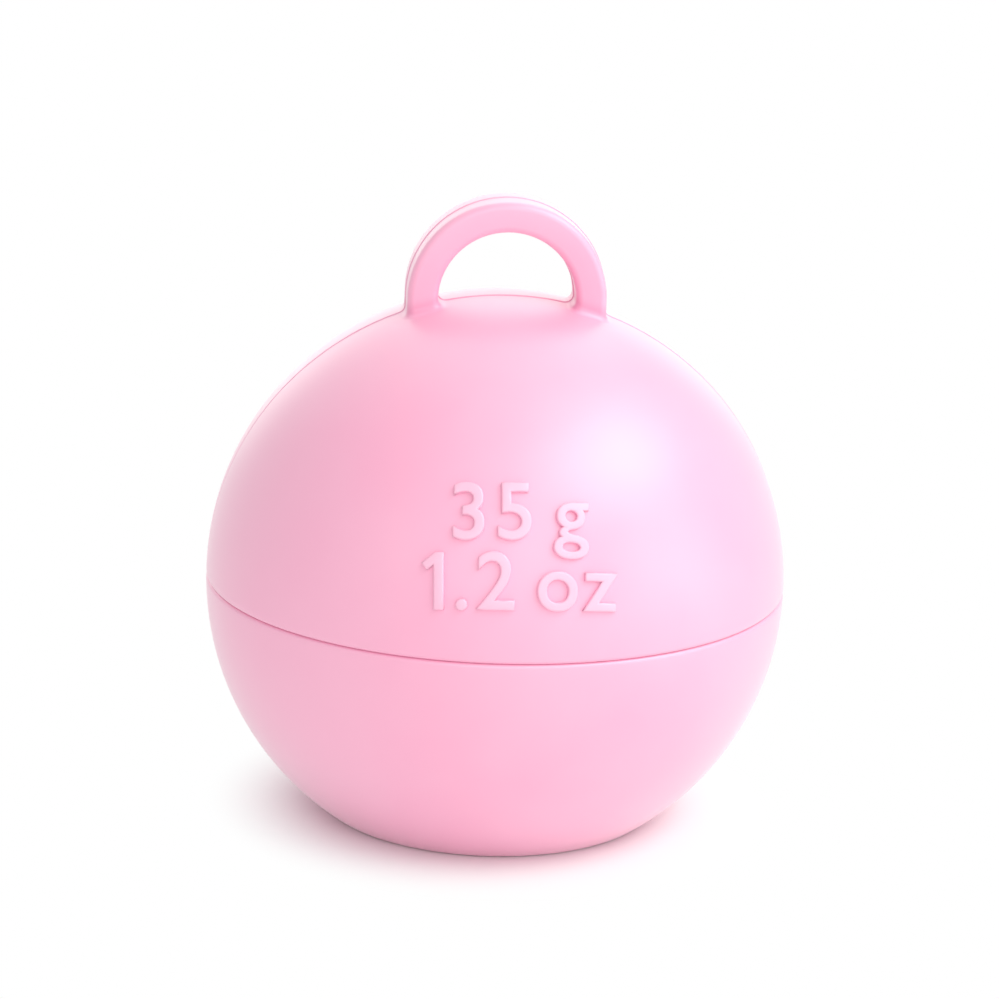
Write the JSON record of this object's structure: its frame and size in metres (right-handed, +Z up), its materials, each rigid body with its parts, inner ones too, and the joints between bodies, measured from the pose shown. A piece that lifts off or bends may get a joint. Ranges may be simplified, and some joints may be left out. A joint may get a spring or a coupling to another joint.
{
  "type": "balloon weight",
  "caption": "Ball-shaped balloon weight of moulded plastic, closed round a charge of sand, with a flat base to stand on and a moulded loop on the crown for tying a ribbon.",
  "frame": {"origin": "middle of the flat base, on the surface that the ball stands on", "axes": "+Z up through the crown and the top of the loop; +X along the loop's span, from foot to foot; +Y through the loop's eye, from the front to the back"},
  "size_m": [0.04, 0.04, 0.0433],
  "materials": {
    "pink_plastic": "satin",
    "dry_sand": "matte"
  },
  "bodies": {
    "root": {"lower_shell": "pink_plastic", "sand_fill": "dry_sand", "upper_shell": "pink_plastic"}
  },
  "joints": []
}
